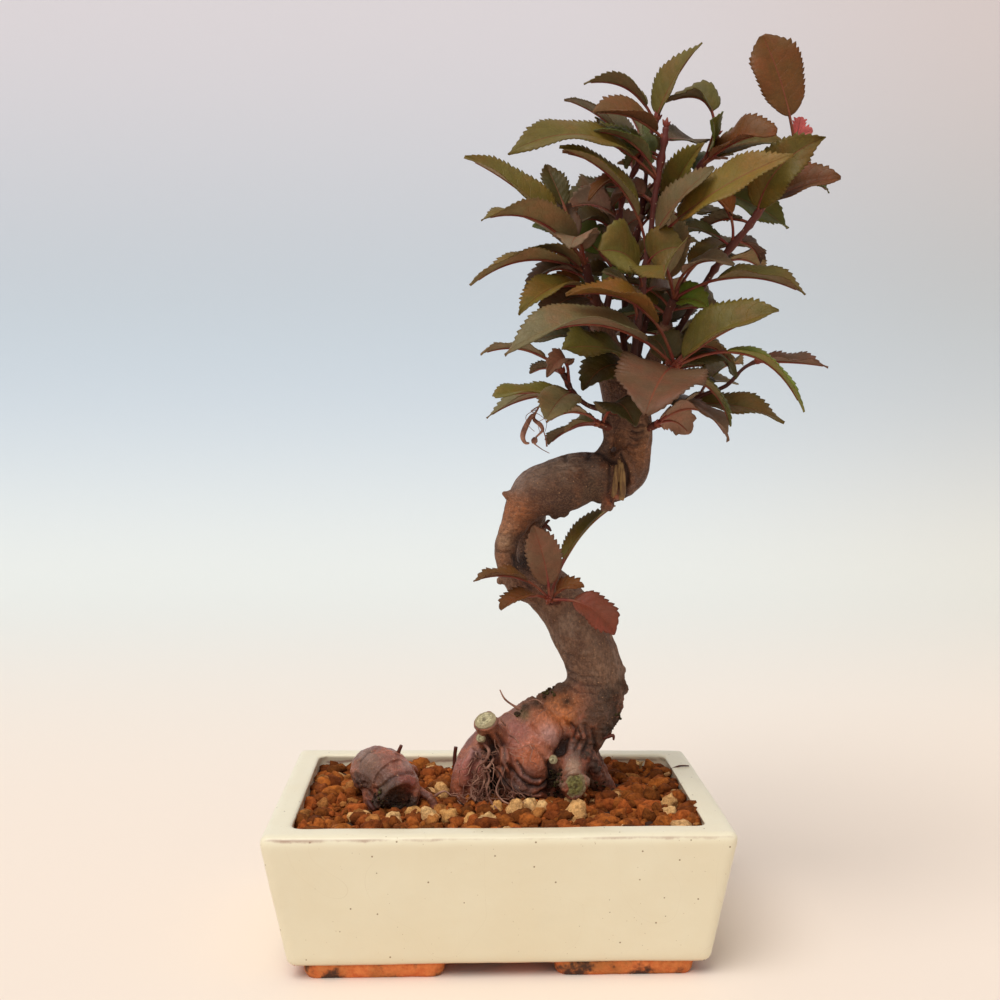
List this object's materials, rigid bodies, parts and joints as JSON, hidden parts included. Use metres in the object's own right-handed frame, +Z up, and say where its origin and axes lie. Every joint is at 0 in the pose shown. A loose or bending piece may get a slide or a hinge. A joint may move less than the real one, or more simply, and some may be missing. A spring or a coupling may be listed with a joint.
{
  "type": "apple bonsai",
  "caption": "Apple bonsai: a twisted old trunk with swollen roots and purple-green toothed leaves, in gravelly soil in a rectangular cream glazed pot on low feet.",
  "frame": {"origin": "centre of the whole footprint, on the surface that the feet stand on", "axes": "+Z up, +X to the right of the pot's long front side, -Y towards the viewer"},
  "size_m": [0.2309, 0.1452, 0.3753],
  "materials": {
    "glaze": "cream glaze, crazed",
    "screen_plastic": "matt",
    "earth": "dry porous grains",
    "bark": "fine rough bark",
    "foliage": "leaf, slightly waxy"
  },
  "bodies": {
    "root": {"pot": "glaze", "drain_screen_left": "screen_plastic", "drain_screen_right": "screen_plastic", "soil": "earth", "trunk": "bark", "root_stump": "bark", "trunk_sprig": "foliage", "leader": "foliage", "rear_left_shoot": "foliage", "left_spur": "foliage", "right_shoot": "foliage", "far_right_shoot": "foliage", "centre_spur": "foliage", "front_spur": "foliage", "low_right_twig": "foliage", "low_right_spur": "foliage", "low_left_spur": "foliage", "low_left_twig": "foliage", "rear_shoot": "foliage", "rear_left_spur": "foliage", "rear_right_spur": "foliage"}
  },
  "joints": []
}
